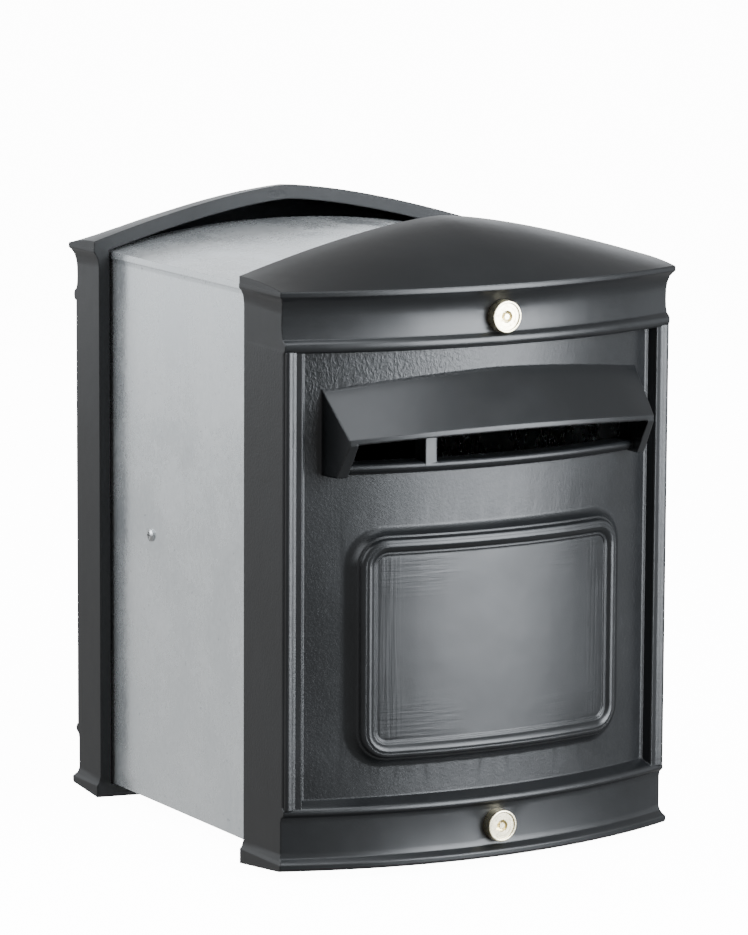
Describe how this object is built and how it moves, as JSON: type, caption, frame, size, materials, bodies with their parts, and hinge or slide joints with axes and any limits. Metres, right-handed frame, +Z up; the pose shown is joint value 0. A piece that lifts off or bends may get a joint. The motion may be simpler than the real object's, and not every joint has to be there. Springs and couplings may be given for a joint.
{
  "type": "post box",
  "caption": "Through-wall post box: bowed castings with arched crowns on a telescopic galvanised sleeve, a hooded letter slot, a raised blank panel and brass cam locks.",
  "frame": {"origin": "centre of the footprint at the lowest edge of the castings", "axes": "+X across the width, -Y towards the letter slot, +Y towards the rear casting, +Z up"},
  "size_m": [0.32, 0.4076, 0.45],
  "materials": {
    "cast_black": "satin black paint over a sand casting",
    "galvanised": "hot-dip galvanised sheet with a fine spangle",
    "fixing_steel": "zinc plated",
    "rivet_alloy": "plain",
    "lock_brass": "turned, slightly dull"
  },
  "bodies": {
    "sleeve": {"outer_sleeve": "galvanised", "outer_lid": "galvanised", "clamp_screws": "fixing_steel", "clamp_nut_left": "fixing_steel", "clamp_nut_right": "fixing_steel", "front_keeper_top": "fixing_steel", "front_keeper_bottom": "fixing_steel", "front_rivets": "rivet_alloy"},
    "inner": {"inner_sleeve": "galvanised", "inner_lid": "galvanised", "rear_keeper_top": "fixing_steel", "rear_keeper_bottom": "fixing_steel", "rear_rivets": "rivet_alloy"},
    "front_casting": {"front_cover": "cast_black", "front_top_barrel": "lock_brass", "front_top_nut": "lock_brass", "front_low_barrel": "lock_brass", "front_low_nut": "lock_brass"},
    "rear_casting": {"rear_cover": "cast_black", "rear_top_barrel": "lock_brass", "rear_top_nut": "lock_brass", "rear_low_barrel": "lock_brass", "rear_low_nut": "lock_brass"},
    "front_top_lock": {"front_top_plug": "lock_brass", "front_top_cam": "fixing_steel", "front_top_cam_screw": "fixing_steel"},
    "front_low_lock": {"front_low_plug": "lock_brass", "front_low_cam": "fixing_steel", "front_low_cam_screw": "fixing_steel"},
    "rear_top_lock": {"rear_top_plug": "lock_brass", "rear_top_cam": "fixing_steel", "rear_top_cam_screw": "fixing_steel"},
    "rear_low_lock": {"rear_low_plug": "lock_brass", "rear_low_cam": "fixing_steel", "rear_low_cam_screw": "fixing_steel"}
  },
  "joints": [
    {"name": "sleeve_slide", "type": "slide", "parent": "sleeve", "child": "inner", "axis": [0, 1, 0], "range_m": [0, 0.125]},
    {"name": "front_cover_off", "type": "slide", "parent": "sleeve", "child": "front_casting", "axis": [0, -1, 0], "range_m": [0, 0.12]},
    {"name": "rear_cover_off", "type": "slide", "parent": "inner", "child": "rear_casting", "axis": [0, 1, 0], "range_m": [0, 0.12]},
    {"name": "front_top_turn", "type": "hinge", "parent": "front_casting", "child": "front_top_lock", "pos_m": [0, -0.18, 0.389], "axis": [0, -1, 0], "range_deg": [0, 90]},
    {"name": "front_low_turn", "type": "hinge", "parent": "front_casting", "child": "front_low_lock", "pos_m": [0, -0.18, 0.029], "axis": [0, 1, 0], "range_deg": [0, 90]},
    {"name": "rear_top_turn", "type": "hinge", "parent": "rear_casting", "child": "rear_top_lock", "pos_m": [0, 0.1954, 0.389], "axis": [0, 1, 0], "range_deg": [0, 90]},
    {"name": "rear_low_turn", "type": "hinge", "parent": "rear_casting", "child": "rear_low_lock", "pos_m": [0, 0.1954, 0.029], "axis": [0, -1, 0], "range_deg": [0, 90]}
  ]
}
